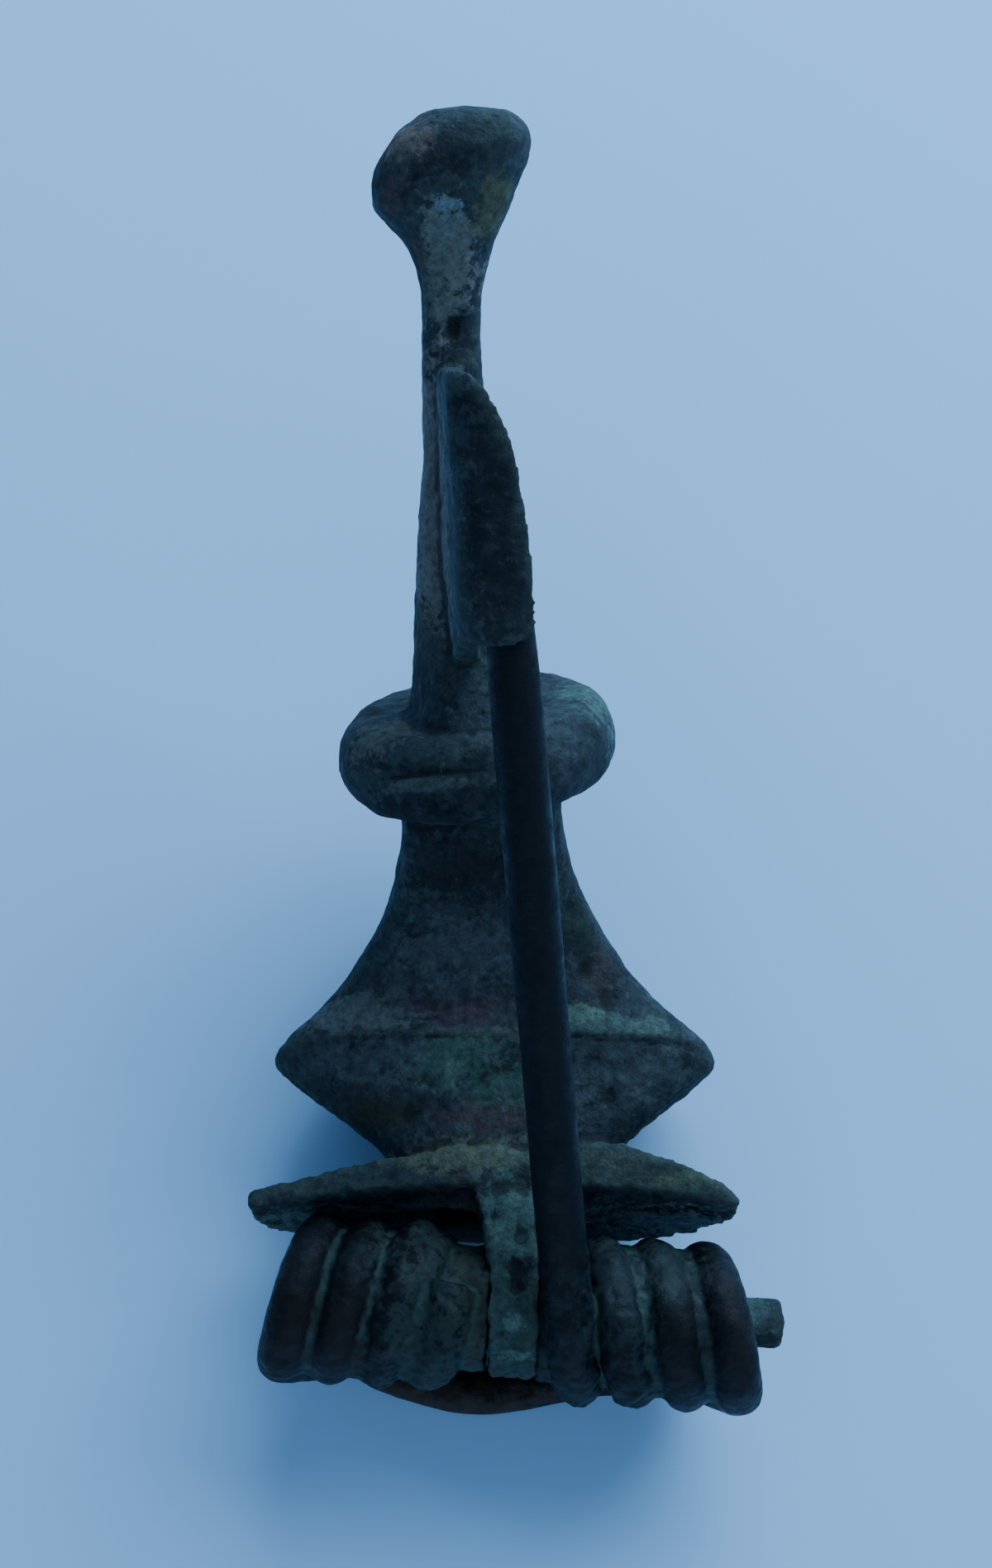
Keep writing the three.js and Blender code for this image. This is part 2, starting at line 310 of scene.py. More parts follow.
def fitFoot(t, turn):
    share, half, above, below, yaw = rowAt(foot["stations"], t)
    x = half * squarer(math.cos(turn), 2.3)
    v = (above if turn > 0 else below) * squarer(math.sin(turn), 2.3)
    y, z = footSpot(share, v, x * yaw)
    return at(x + strayAt(y), y, z)


footPiece = drawOut("foot", foot["sides"], len(foot["stations"]), foot["steps"], fitFoot)

bowKnob = {
    "radius": 6.3,
    "half": 2,
    "rim": 0.8,
    "tilt": 33,
    "yaw": 0.135,
    "grooveTurn": 0.45,
    "groove": 0.5,
    "grooveWidth": 0.12,
    "grooveFrom": (0.5, -1),
    "grooveTo": (-6.6, -5.4),
}


# The round collar: a ring on a flat disc, with a groove pressed into its left lobe.
def makeBowKnob():
    clearSelection()
    small = bowKnob["half"]
    wide = bowKnob["radius"] - small * bowKnob["rim"]
    bpy.ops.mesh.primitive_torus_add(
        major_radius=wide * mm, minor_radius=small * mm, major_segments=96, minor_segments=36
    )
    ring = bpy.context.object
    bpy.ops.object.mode_set(mode="EDIT")
    mesh = bmesh.from_edit_mesh(ring.data)
    for v in mesh.verts:
        out = Vector((v.co.x, v.co.y, 0))
        proud = out.length - wide * mm
        turn = math.atan2(v.co.z, proud)
        reach = proud * bowKnob["rim"]
        left = ease(*bowKnob["grooveFrom"], v.co.x / mm) * ease(*bowKnob["grooveTo"], v.co.x / mm)
        off = (turn - bowKnob["grooveTurn"]) / bowKnob["grooveWidth"]
        reach -= bowKnob["groove"] * mm * left * math.exp(-off ** 2)
        v.co = out.normalized() * (wide * mm + reach) + Vector((0, 0, v.co.z))
    bmesh.update_edit_mesh(ring.data)
    bpy.ops.object.mode_set(mode="OBJECT")
    clearSelection()
    bpy.ops.mesh.primitive_cylinder_add(
        vertices=96, radius=wide * mm, depth=2 * small * mm * 0.99
    )
    disc = bpy.context.object
    collar = joinAll([ring, disc], "bow_knob")
    y, z = foot["start"]
    collar.rotation_euler = (math.radians(bowKnob["tilt"] - 90), 0, bowKnob["yaw"])
    collar.location = at(strayAt(y), y, z)
    settle(collar)
    return collar


knobPiece = makeBowKnob()

# Values kept by side are for the right (1) and left (-1) half of the spring.
spring = {
    "wire": 1.1,
    "coil": 2.7,
    "height": 6,
    "pitch": {1: 2.4, -1: 2.24},
    "start": {1: 2.5, -1: 2.84},
    "lean": {1: 0.1, -1: 0.38},
    "skew": -0.06,
    "leftUp": 0.2,
    "turns": 3.47,
    "innerTurn": 0.2,
    "lugHalf": 1.12,
    "lugX": 0.15,
    "gap": 0.3,
}
pin = {
    "rise": math.radians(29.3), "length": 38.7, "tip": 0.55, "taper": 9.5,
    "catch": (-0.41, 30.16, 26),
}

pinRoot = Vector((
    spring["lugX"] + spring["lugHalf"] + spring["gap"] + spring["wire"],
    -spring["coil"] * math.sin(pin["rise"]),
    spring["height"] + spring["coil"] * math.cos(pin["rise"]),
))
pinLine = (Vector(pin["catch"]) - pinRoot).normalized()

catch = {
    "near": 31.6,
    "far": 42.4,
    "inner": 1.25,
    "tight": 1.13,
    "wall": {"near": 0.88, "far": 0.45, "edge": 0.34},
    "thinBy": 1.8,
    "nearEnd": 0.55,
    "nearEndTo": 0.1,
    "inset": 0.2,
    "plateFrom": 0.13,
    "plateTo": 0.68,
    "plateFoot": 1.3,
    "plateLeft": 0.2,
    "reach": [
        (0, 70), (0.03, 118), (0.08, 140), (0.3, 142), (0.5, 136), (0.57, 132), (0.66, 130),
        (0.76, 118), (0.85, 103), (0.93, 86), (1, 58),
    ],
    "ragged": 3,
}


def lipReach(share):
    for (s0, r0), (s1, r1) in zip(catch["reach"], catch["reach"][1:]):
        if share <= s1 + 1e-6:
            reach = mix(r0, r1, (share - s0) / (s1 - s0))
            break
    coarse = noise.noise(Vector((share * 14, 3.1, 0)))
    fine = noise.noise(Vector((share * 34, 9, 0)))
    return math.radians(reach + catch["ragged"] * (coarse + 0.6 * fine))


lipSide = Vector((-1, 0, 0))
lipUp = pinLine.cross(lipSide).normalized()
if lipUp.z < 0:
    lipUp.negate()


def placeLip(u, v, w):
    spot = pinRoot + pinLine * mix(catch["near"], catch["far"], v)
    turn = u * lipReach(v)
    over = ease(0, catch["thinBy"], turn)
    wall = mix(mix(catch["wall"]["near"], catch["wall"]["far"], v), catch["wall"]["edge"], over)
    wall *= mix(catch["nearEnd"], 1, ease(0, catch["nearEndTo"], v))
    r = mix(catch["inner"], catch["tight"], over) + wall * w
    return at(*(spot + lipSide * (r * math.cos(turn)) + lipUp * (r * math.sin(turn))))


def placePlate(u, v, w):
    reach = mix(catch["near"] + catch["inset"], catch["far"] - catch["inset"], v)
    top = pinRoot + pinLine * reach
    lipWall = mix(catch["wall"]["near"], catch["wall"]["far"], v)
    top.x -= catch["inner"] + lipWall / 2
    top.z += catch["inset"]
    y, z = footSpot(mix(catch["plateFrom"], catch["plateTo"], v), 0)
    base = Vector((strayAt(y) - catch["plateLeft"], y, z))
    wall = mix(catch["plateFoot"], lipWall - catch["inset"] * 0.4, w)
    spot = base.lerp(top, w)
    spot.x += (u - 0.5) * wall
    return at(*spot)


lipPiece = bendBox("lip", (10, 60, 2), placeLip)
platePiece = bendBox("catch_plate", (1, 14, 8), placePlate)

wing = {
    "left": -11.9,
    "right": 10.5,
    "ridgeY": 5.8,
    "ridgeZ": 8,
    "footY": 3.2,
    "wall": 1.25,
    "rightWall": 2.3,
    "rightBy": 5,
    "bluntLeft": 12.25,
    "bluntRight": 10.7,
    "roundLeft": 0.5,
    "roundRight": 0.6,
    "sag": 1.1,
    "tipDrop": 0.15,
}


# The support plate: straight above, curved below, leaning over the spring.
def placeWing(u, v, w):
    x = mix(wing["left"], wing["right"], 0.5 - 0.5 * math.cos(math.pi * u))
    right = x > 0
    tip = abs(x) / (wing["bluntRight"] if right else wing["bluntLeft"])
    drop = max(0.02, 1 - tip ** 2.1) ** wing["roundRight" if right else "roundLeft"]
    down = (1 - v) * drop * (wing["ridgeZ"] + 0.1)
    lean = (wing["ridgeY"] - wing["footY"]) / wing["ridgeZ"]
    wall = wing["wall"] * (1.25 - 0.75 * tip ** 2)
    if right:
        thick = wing["rightWall"] * max(0.03, 1 - tip ** 2) ** 0.5
        wall = mix(wing["wall"], thick, ease(0, wing["rightBy"], x))
    y = wing["ridgeY"] - wing["sag"] * tip ** 2 - down * lean + w * wall
    return at(x, y, max(0.05, wing["ridgeZ"] - wing["tipDrop"] * tip - down))


wingPiece = bendBox("support_plate", (56, 12, 3), placeWing)

lug = {
    "eye": 2.8,
    "hole": 1.4,
    "inset": 0.05,
    "outline": [(1.4, 8.35), (4.9, 8.25), (7.4, 6.9), (7.6, 2.4), (4.4, 1.6), (1.2, 3.3)],
}


def makeLug():
    width = 2 * spring["lugHalf"] * mm
    middle = at(spring["lugX"], 0, spring["height"])
    eye = lyingCylinder(lug["eye"], width, middle, 48)
    clearSelection()
    bpy.ops.mesh.primitive_circle_add(
        vertices=len(lug["outline"]), radius=mm, fill_type="NGON", rotation=(0, math.pi / 2, 0)
    )
    strip = bpy.context.object
    settle(strip)
    bpy.ops.object.mode_set(mode="EDIT")
    mesh = bmesh.from_edit_mesh(strip.data)
    mesh.verts.ensure_lookup_table()
    for v, (y, z) in zip(mesh.verts, lug["outline"]):
        v.co = at(spring["lugX"] - spring["lugHalf"] + lug["inset"], y, z)
    bmesh.update_edit_mesh(strip.data)
    bpy.ops.mesh.select_all(action="SELECT")
    bpy.ops.mesh.extrude_region_move(
        TRANSFORM_OT_translate={"value": (width - 2 * lug["inset"] * mm, 0, 0)}
    )
    bpy.ops.object.mode_set(mode="OBJECT")
    recalculate(strip)
    bore = lyingCylinder(lug["hole"], 4 * width, middle, 40)
    applyModifier(eye, "BOOLEAN", operation="UNION", solver="EXACT", object=strip)
    bpy.data.objects.remove(strip)
    cutAway(eye, bore)
    eye.name = "lug"
    return eye


lugPiece = makeLug()


flare = {
    "near": 2.4, "far": 6.5, "spread": 0.9, "rough": 0.25, "low": 5.4, "high": 8.45, "fall": 1.1,
}


# The metal that spreads from the lug's upper left edge into the support plate.
def placeFlare(u, v, w):
    left = spring["lugX"] - spring["lugHalf"] - flare["spread"] * v ** 1.4 - lug["inset"]
    left += flare["rough"] * noise.noise(Vector((v * 4, 2.5, 0))) * v
    top = flare["high"] - flare["fall"] * v ** 3
    return at(
        mix(left, spring["lugX"], u), mix(flare["near"], flare["far"], v), mix(flare["low"], top, w)
    )


flarePiece = bendBox("lug_flare", (4, 12, 6), placeFlare)

casting = {"grain": 0.172, "smooth": 7, "pocket": ((-3.5, 2, 2.6), (-0.72, 7.2, 6.4))}


def makeBlock(name, low, high):
    clearSelection()
    a, b = at(*low), at(*high)
    bpy.ops.mesh.primitive_cube_add(size=1, location=(a + b) / 2)
    block = bpy.context.object
    block.name = name
    block.scale = b - a
    settle(block)
    return block


applyModifier(headPiece, "BOOLEAN", operation="UNION", solver="EXACT", object=wingPiece)
bpy.data.objects.remove(wingPiece)
cutAway(headPiece, makeBlock("pocket", *casting["pocket"]))
bow = joinAll(
    [headPiece, footPiece, knobPiece, lipPiece, platePiece, lugPiece, flarePiece], "brooch_bow"
)
fuse(bow, casting["grain"], casting["smooth"])
print("casting joined:", len(bow.data.vertices), "points")


# Soft bumps of several sizes; size is the width of the largest, in millimetres.
def lumps(spot, size, octaves=3, seed=0):
    total, weight, strength = 0, 0, 1
    p = spot / (size * mm) + Vector((seed * 7.3, seed * 3.1, seed * 5.7))
    for _ in range(octaves):
        total += noise.noise(p) * strength
        weight += strength
        strength *= 0.55
        p = p * 2.03 + Vector((1.7, 9.2, 4.1))
    return total / weight


# The lift that one layer of wear gives: depth, size of the lumps, octaves, seed.
def liftOf(spot, layer):
    depth, size, octaves, seed = layer
    return depth * lumps(spot, size, octaves, seed)


# A soft ridge or groove: its depth, middle and width, all in millimetres.
def ridgeAt(value, depth, middle, width):
    return depth * math.exp(-((value - middle) / width) ** 2)


# Marks on the bow: place, width, depth, all in millimetres.
bowMarks = {
    "pits": [
        ((-2.35, 39.2, 25.6), 0.9, 0.45), ((-2.88, 43.1, 31), 1.7, 0.6),
        ((-3.9, 42.2, 30.2), 1.0, 0.3), ((-5.6, 24.3, 15.5), 1.0, 0.2),
        ((4.6, 9.6, 7.6), 0.7, 0.25), ((-4.6, 8.9, 7.6), 0.6, 0.25),
        ((1.5, 10.4, 8), 0.6, 0.2), ((6.2, 12.1, 7.6), 0.5, 0.2),
        ((-7.6, 11.5, 7), 0.6, 0.2), ((-1.7, 17.8, 9.4), 0.7, 0.2),
        ((0.28, 2.3, 8.75), 0.42, 0.4), ((0.28, 1.75, 8.7), 0.42, 0.45),
        ((0.28, 1.2, 8.6), 0.42, 0.4), ((3.6, 15.6, 8.3), 0.9, 0.25),
        ((4.8, 14.3, 8.2), 0.7, 0.25), ((3.1, 18.3, 9.6), 0.8, 0.25),
    ],
    "bumps": [
        ((-1.26, 39.09, 25), 0.5, 0.35), ((-4.4, 44.5, 31), 1.4, 0.35),
        ((-0.7, 45.6, 31.2), 1.1, 0.3), ((-2.9, 10.9, 8.1), 0.8, 0.2),
        ((-1.2, 11.3, 8.1), 0.5, 0.2), ((3.4, 13.2, 8.4), 0.9, 0.15),
        ((-5, 24.1, 16), 1.1, 0.3), ((-0.4, 45.2, 29.6), 1.2, 0.3),
        ((0.2, -0.35, 8.7), 0.5, 0.3), ((-2.2, 8.2, 7.7), 0.9, 0.2),
    ],
}


# Layers of wear are depth, size, octaves, seed; ridges are depth, middle, width.
bowWear = {
    "broad": (0.16, 3.2, 3, 1),
    "middle": (0.13, 0.9, 3, 2),
    "fine": (0.07, 0.42, 2, 3),
    "roughTo": 12.5,
    "calmer": 0.55,
    "crust": (1, 1.1, 3, 8),
    "crustNear": {"y": 6.4, "z": 2, "depth": 0.14},
    "crustLug": {"reach": 2, "z": 5, "depth": 0.32},
    "ledgeY": 12.5,
    "ledgeStep": 0.1,
    "ledgeBrow": (0.05, -0.16, 0.2),
    "ledgeCrack": (0.13, 0.1, 0.1),
}


# Where the step across the head runs: its y at each x.
def ledgeLine(x):
    wander = 0.14 * noise.noise(Vector((x * 0.55, 2.2, 0)))
    wander += 0.08 * noise.noise(Vector((x * 1.9, 5.1, 0)))
    return bowWear["ledgeY"] - 0.004 * (x + 1) ** 2 + wander


# The low step across the head and the crack along it, stronger towards both sides.
def ledgeLift(p):
    ledge = ledgeLine(p.x) - p.y
    side = ease(0.5, 2.2, abs(p.x + 0.6)) * ease(9.6, 7.5, abs(p.x + 0.8))
    sharp = side * (0.55 + 0.45 * noise.noise(Vector((p.x * 0.8, 7.7, 1))))
    step = bowWear["ledgeStep"] * ease(-0.1, 0.2, ledge) * (1 - ease(8.2, 6.8, p.y))
    brow = ridgeAt(ledge, *bowWear["ledgeBrow"])
    return sharp * (brow - ridgeAt(ledge, *bowWear["ledgeCrack"])) - step


def wearBow(piece):
    near, onLug = bowWear["crustNear"], bowWear["crustLug"]
    normals = [v.normal.copy() for v in piece.data.vertices]
    for v, normal in zip(piece.data.vertices, normals):
        p = fromMiddle(v.co)
        if p.z < 0.25 and normal.z < -0.6:
            v.co.z = max(0, v.co.z)  # the flat that it lies on stays flat
            continue
        rough = 1 if p.y < bowWear["roughTo"] else bowWear["calmer"]
        rise = rough * (liftOf(v.co, bowWear["middle"]) + liftOf(v.co, bowWear["fine"]))
        rise += liftOf(v.co, bowWear["broad"])
        if p.y < near["y"] and p.z > near["z"]:
            lugSide = abs(p.x - spring["lugX"]) < onLug["reach"] and p.z > onLug["z"]
            depth = onLug["depth"] if lugSide else near["depth"]
            rise += depth * (liftOf(v.co, bowWear["crust"]) - 0.05)
        if 6.5 < p.y < 15 and normal.z > 0.35 and p.z > 5.5:
            rise += ledgeLift(p) * normal.z
        for sign, marks in ((-1, bowMarks["pits"]), (1, bowMarks["bumps"])):
            for spot, width, depth in marks:
                away = (p - Vector(spot)).length / width
                if away < 2:
                    rise += sign * depth * math.exp(-away * away * 1.6)
        v.co += normal * rise * mm
        v.co.z = max(0, v.co.z)
    piece.data.update()


wearBow(bow)
print("bow worn")


def strayOfSpring(x):
    return spring["skew"] * (x - spring["lugX"]) + spring["leftUp"] * ease(-0.5, -2.5, x)


pinTurn = 0.25 + pin["rise"] / (2 * math.pi)  # the turn at which the pin leaves the coil


# A place on the wire's middle line, after so many turns on one side.
def coilSpot(side, turn):
    leave = pinTurn if side > 0 else spring["innerTurn"]
    angle = turn * 2 * math.pi
    run = spring["start"][side] + spring["pitch"][side] * (turn - leave)
    run -= spring["lean"][side] * math.cos(angle) * ease(0, 5, run)
    x = side * run + spring["lugX"]
    return Vector((
        x,
        spring["coil"] * math.cos(angle) + strayOfSpring(x),
        spring["height"] + spring["coil"] * math.sin(angle),
    ))


chord = {
    "reach": 6.6, "y": -2.15, "low": 4.5, "bend": 2.2, "bow": 1.5, "bowX": -1.8, "bowWidth": 5,
}


def bezierRun(a, b, c, d, count):
    points = []
    for i in range(1, count + 1):
        t = i / count
        points.append(
            a * (1 - t) ** 3 + b * 3 * t * (1 - t) ** 2 + c * 3 * t * t * (1 - t) + d * t ** 3
        )
    return points


def chordEnd(side):
    start = coilSpot(side, spring["turns"])
    out = (coilSpot(side, spring["turns"] + 0.001) - start).normalized()
    end = Vector((
        side * chord["reach"] + spring["lugX"],
        chord["y"] + spring["skew"] * side * chord["reach"],
        spring["height"] - chord["low"],
    ))
    handle = end + Vector((side * chord["bend"], -0.1, -0.1))
    return bezierRun(start, start + out * chord["bend"], handle, end, 10)


# The whole wire: pin, right turns, chord, left turns.
def wireRoute():
    route = [pinRoot + pinLine * (pin["length"] * (1 - i / 40)) for i in range(40)]
    count = round((spring["turns"] - pinTurn) * 36)
    route += [coilSpot(1, mix(pinTurn, spring["turns"], i / count)) for i in range(count + 1)]
    right, left = chordEnd(1), chordEnd(-1)[::-1]
    route += right
    for i in range(1, 24):
        spot = right[-1].lerp(left[0], i / 24)
        spot.y -= ridgeAt(spot.x, chord["bow"], chord["bowX"], chord["bowWidth"])
        route.append(spot)
    route += left
    count = round((spring["turns"] - spring["innerTurn"]) * 36)
    route += [
        coilSpot(-1, mix(spring["turns"], spring["innerTurn"], i / count))
        for i in range(1, count + 1)
    ]
    return route


# A round tube along a line of places, with its own radius at each, in millimetres.
def makeTube(name, route, radii):
    clearSelection()
    bpy.ops.curve.primitive_nurbs_path_add()
    wire = bpy.context.object
    wire.name = name
    wire.data.splines.clear()
    spline = wire.data.splines.new("POLY")
    spline.points.add(len(route) - 1)
    for point, spot, radius in zip(spline.points, route, radii):
        point.co = (*at(*spot), 1)
        point.radius = radius
    wire.data.dimensions = "3D"
    wire.data.twist_mode = "MINIMUM"
    wire.data.bevel_depth = mm
    wire.data.bevel_resolution = 10
    wire.data.use_fill_caps = True
    wire.location = (0, 0, 0)
    bpy.ops.object.convert(target="MESH")
    recalculate(wire)
    return wire


# The pin tapers to its tip; everything behind it has the full wire.
def makeWire():
    route = wireRoute()
    radii = []
    far = 0
    for i, spot in enumerate(route):
        far += (spot - route[i - 1]).length if i else 0
        radii.append(mix(pin["tip"], spring["wire"], ease(-1, pin["taper"], far)))
    return makeTube("wire", route, radii)


wirePiece = makeWire()

# Sleeves are from x, to x, radius. Seams are side, first turn, last turn, thickness.
crust = {
    "sleeves": [(-6.4, -0.98, 2.75), (1.3, 7.9, 2.85)],
    "bore": 1.75,
    "seams": [(-1, 0.45, 2.7, 0.5), (-1, -0.3, 0.45, 0.6), (1, 1.0, 2.75, 0.5)],
    "seamCoil": 2.8,
    "ragged": 0.35,
    "grain": 0.13,
    "smooth": 6,
}


# Corrosion grown between the inner turns: a rough filling and a raised seam in each groove.
def makeCrust():
    grown = []
    slant = math.atan(spring["skew"])
    for low, high, radius in crust["sleeves"]:
        x = (low + high) / 2
        middle = at(x, strayOfSpring(x), spring["height"])
        sleeve = lyingCylinder(radius, (high - low) * mm, middle, 72, slant)
        cutAway(sleeve, lyingCylinder(crust["bore"], 16 * mm, middle, 72, slant))
        grown.append(sleeve)
    for side, first, last, thick in crust["seams"]:
        route = []
        count = round((last - first) * 30)
        for i in range(count + 1):
            turn = mix(first, last, i / count)
            spot = coilSpot(side, turn) + Vector((side * spring["pitch"][side] / 2, 0, 0))
            middle = Vector((spot.x, strayOfSpring(spot.x), spring["height"]))
            route.append(middle + (spot - middle) * (crust["seamCoil"] / spring["coil"]))
        radii = [
            thick * (1 + crust["ragged"] * noise.noise(Vector((i * 0.35, side * 5, first))))
            for i in range(len(route))
        ]
        grown.append(makeTube("seam", route, radii))
    return grown


springPin = joinAll([wirePiece, *makeCrust()], "brooch_spring_pin")
fuse(springPin, crust["grain"], crust["smooth"])

# Depth, size, octaves, seed. The outer turns are calmer than the crusted inner ones.
wireWear = {
    "broad": (0.05, 2.4, 3, 4),
    "middle": (1, 0.8, 3, 5),
    "fine": (0.05, 0.35, 2, 6),
    "outerTurns": 0.06,
    "innerTurns": 0.16,
    "coilReach": (6.5, 4.2),
    "innerReach": (8.6, 4.5),
}


def wearWire(piece):
    normals = [v.normal.copy() for v in piece.data.vertices]
    for v, normal in zip(piece.data.vertices, normals):
        p = fromMiddle(v.co)
        coil = ease(*wireWear["coilReach"], math.hypot(p.y, p.z - spring["height"]))
        inner = ease(*wireWear["innerReach"], abs(p.x - spring["lugX"]))
        share = wireWear["outerTurns"] + wireWear["innerTurns"] * inner
        rise = coil * share * liftOf(v.co, wireWear["middle"])
        rise += coil * inner * liftOf(v.co, wireWear["fine"]) + liftOf(v.co, wireWear["broad"])
        v.co += normal * rise * mm
        v.co.z = max(0, v.co.z)
    piece.data.update()


wearWire(springPin)
print("spring and pin made:", len(springPin.data.vertices), "points")

rod = {
    "radius": 1.078,
    "shorter": 0.1,
    "slant": -0.032,
    "edge": 0.3,
    "grain": 0.11,
    "smooth": 4,
    "wear": (1, 0.7, 3, 7),
    "wornSides": 0.05,
    "wornEnd": 0.12,
    "endReach": 3,
}


def makeRod():
    low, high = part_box("spring_rod")
    length = high.x - low.x - rod["shorter"] * mm
    piece = lyingCylinder(rod["radius"], length, (low + high) / 2, 48, rod["slant"])
    piece.name = "brooch_spring_rod"
    bpy.ops.object.mode_set(mode="EDIT")
    bpy.ops.mesh.select_all(action="SELECT")
    bpy.ops.mesh.bevel(offset=rod["edge"] * mm, segments=3, affect="EDGES")
    bpy.ops.object.mode_set(mode="OBJECT")
    fuse(piece, rod["grain"], rod["smooth"])
    for v in piece.data.vertices:
        end = ease(rod["endReach"] * mm, 0, high.x - v.co.x)
        depth = rod["wornSides"] + rod["wornEnd"] * end
        v.co += v.normal * mm * depth * liftOf(v.co, rod["wear"])
    return piece


springRod = makeRod()
print("rod made")


relief = {"gain": 4, "passes": 16}


# How far each point stands proud of what is round it, kept on the piece: 0.5 is level.
def markRelief(piece):
    mesh = piece.data
    coords = [v.co.copy() for v in mesh.vertices]
    near = [[] for _ in coords]
    for edge in mesh.edges:
        a, b = edge.vertices
        near[a].append(b)
        near[b].append(a)
    wide = coords
    for _ in range(relief["passes"]):
        wide = [
            (spot + sum((wide[k] for k in ring), Vector())) / (len(ring) + 1)
            for spot, ring in zip(wide, near)
        ]
    kept = mesh.attributes.new("relief", "FLOAT", "POINT")
    for v, flat, mark in zip(mesh.vertices, wide, kept.data):
        proud = (coords[v.index] - flat).dot(v.normal) / mm
        mark.value = min(1, max(0, 0.5 + relief["gain"] * proud))


for piece in (bow, springPin, springRod):
    choose(piece)
    bpy.ops.object.shade_smooth()
    markRelief(piece)
print("relief marked")


def socketIn(group, name, kind, value):
    made = group.interface.new_socket(name=name, in_out="INPUT", socket_type=kind)
    made.default_value = value


# A new node, with its choices and the values on its sockets.
def addNode(nodes, kind, sockets=(), **choices):
    node = nodes.new(kind)
    for name, value in choices.items():
        setattr(node, name, value)
    for name, value in dict(sockets).items():
        node.inputs[name].default_value = value
    return node


# A node that works out one thing from two values, each a socket or a number.
def worked(nodes, links, kind, operation, first, second):
    node = addNode(nodes, kind, operation=operation)
    for socket, value in zip(node.inputs, (first, second)):
        if isinstance(value, (int, float)):
            socket.default_value = value
        else:
            links.new(value, socket)
    return node.outputs[0]


# A mottled mask from noise: Cover is about the share it fills, Edge how soft its rim is.
def makeMottle():
    group = bpy.data.node_groups.new("mottle", "ShaderNodeTree")
    socketIn(group, "Scale", "NodeSocketFloat", 300)
    socketIn(group, "Cover", "NodeSocketFloat", 0.5)
    socketIn(group, "Edge", "NodeSocketFloat", 0.08)
    group.interface.new_socket(name="Mask", in_out="OUTPUT", socket_type="NodeSocketFloat")
    nodes, links = group.nodes, group.links
    start = nodes.new("NodeGroupInput")
    end = nodes.new("NodeGroupOutput")
    place = nodes.new("ShaderNodeTexCoord")
    speck = addNode(
        nodes, "ShaderNodeTexNoise", {"Detail": 6, "Roughness": 0.62, "Distortion": 0.35}
    )
    mask = addNode(nodes, "ShaderNodeMapRange", interpolation_type="SMOOTHSTEP")
    cover, edge = start.outputs["Cover"], start.outputs["Edge"]
    level = worked(nodes, links, "ShaderNodeMath", "SUBTRACT", 1, cover)
    low = worked(nodes, links, "ShaderNodeMath", "SUBTRACT", level, edge)
    high = worked(nodes, links, "ShaderNodeMath", "ADD", level, edge)
    links.new(place.outputs["Object"], speck.inputs["Vector"])
    links.new(start.outputs["Scale"], speck.inputs["Scale"])
    links.new(speck.outputs["Fac"], mask.inputs["Value"])
    links.new(low, mask.inputs["From Min"])
    links.new(high, mask.inputs["From Max"])
    links.new(mask.outputs["Result"], end.inputs["Mask"])
    return group


# A ragged, flecked patch round one place on the piece. Ragged and Flecks are how far
# the coarse and the fine noise push its rim in and out.
def makePatch():
    group = bpy.data.node_groups.new("patch", "ShaderNodeTree")
    socketIn(group, "Place", "NodeSocketVector", (0, 0, 0))
    socketIn(group, "Size", "NodeSocketVector", (1, 1, 1))
    socketIn(group, "Ragged", "NodeSocketFloat", 2.5)
    socketIn(group, "Flecks", "NodeSocketFloat", 4)
    group.interface.new_socket(name="Mask", in_out="OUTPUT", socket_type="NodeSocketFloat")
    nodes, links = group.nodes, group.links
    start = nodes.new("NodeGroupInput")
    end = nodes.new("NodeGroupOutput")
    spot = nodes.new("ShaderNodeTexCoord").outputs["Object"]
    place, size = start.outputs["Place"], start.outputs["Size"]
    away = worked(nodes, links, "ShaderNodeVectorMath", "SUBTRACT", spot, place)
    shrunk = worked(nodes, links, "ShaderNodeVectorMath", "DIVIDE", away, size)
    length = addNode(nodes, "ShaderNodeVectorMath", operation="LENGTH")
    links.new(shrunk, length.inputs[0])
    total = length.outputs["Value"]
    for scale, share in ((620, "Ragged"), (2300, "Flecks")):
        speck = addNode(
            nodes, "ShaderNodeTexNoise", {"Scale": scale, "Detail": 6, "Roughness": 0.68}
        )
        links.new(spot, speck.inputs["Vector"])
        centred = worked(nodes, links, "ShaderNodeMath", "SUBTRACT", speck.outputs["Fac"], 0.5)
        push = worked(nodes, links, "ShaderNodeMath", "MULTIPLY", centred, start.outputs[share])
        total = worked(nodes, links, "ShaderNodeMath", "ADD", total, push)
    mask = addNode(
        nodes, "ShaderNodeMapRange", {"From Min": 1.1, "From Max": 0.72},
        interpolation_type="SMOOTHSTEP",
    )
    links.new(total, mask.inputs["Value"])
    links.new(mask.outputs["Result"], end.inputs["Mask"])
    return group


mottleGroup = makeMottle()
patchGroup = makePatch()


def linear(colour):
    return tuple(
        c / 12.92 if c <= 0.04045 else ((c + 0.055) / 1.055) ** 2.4 for c in colour
    ) + (1,)


# Lays one colour over another where a mask is white.
def layColour(nodes, links, under, over, mask, strength):
    amount = worked(nodes, links, "ShaderNodeMath", "MULTIPLY", mask, strength)
    mixer = addNode(nodes, "ShaderNodeMix", data_type="RGBA")
    links.new(amount, mixer.inputs["Factor"])
    if isinstance(under, tuple):
        mixer.inputs["A"].default_value = linear(under)
    else:
        links.new(under, mixer.inputs["A"])
    mixer.inputs["B"].default_value = linear(over)
    return mixer.outputs["Result"]


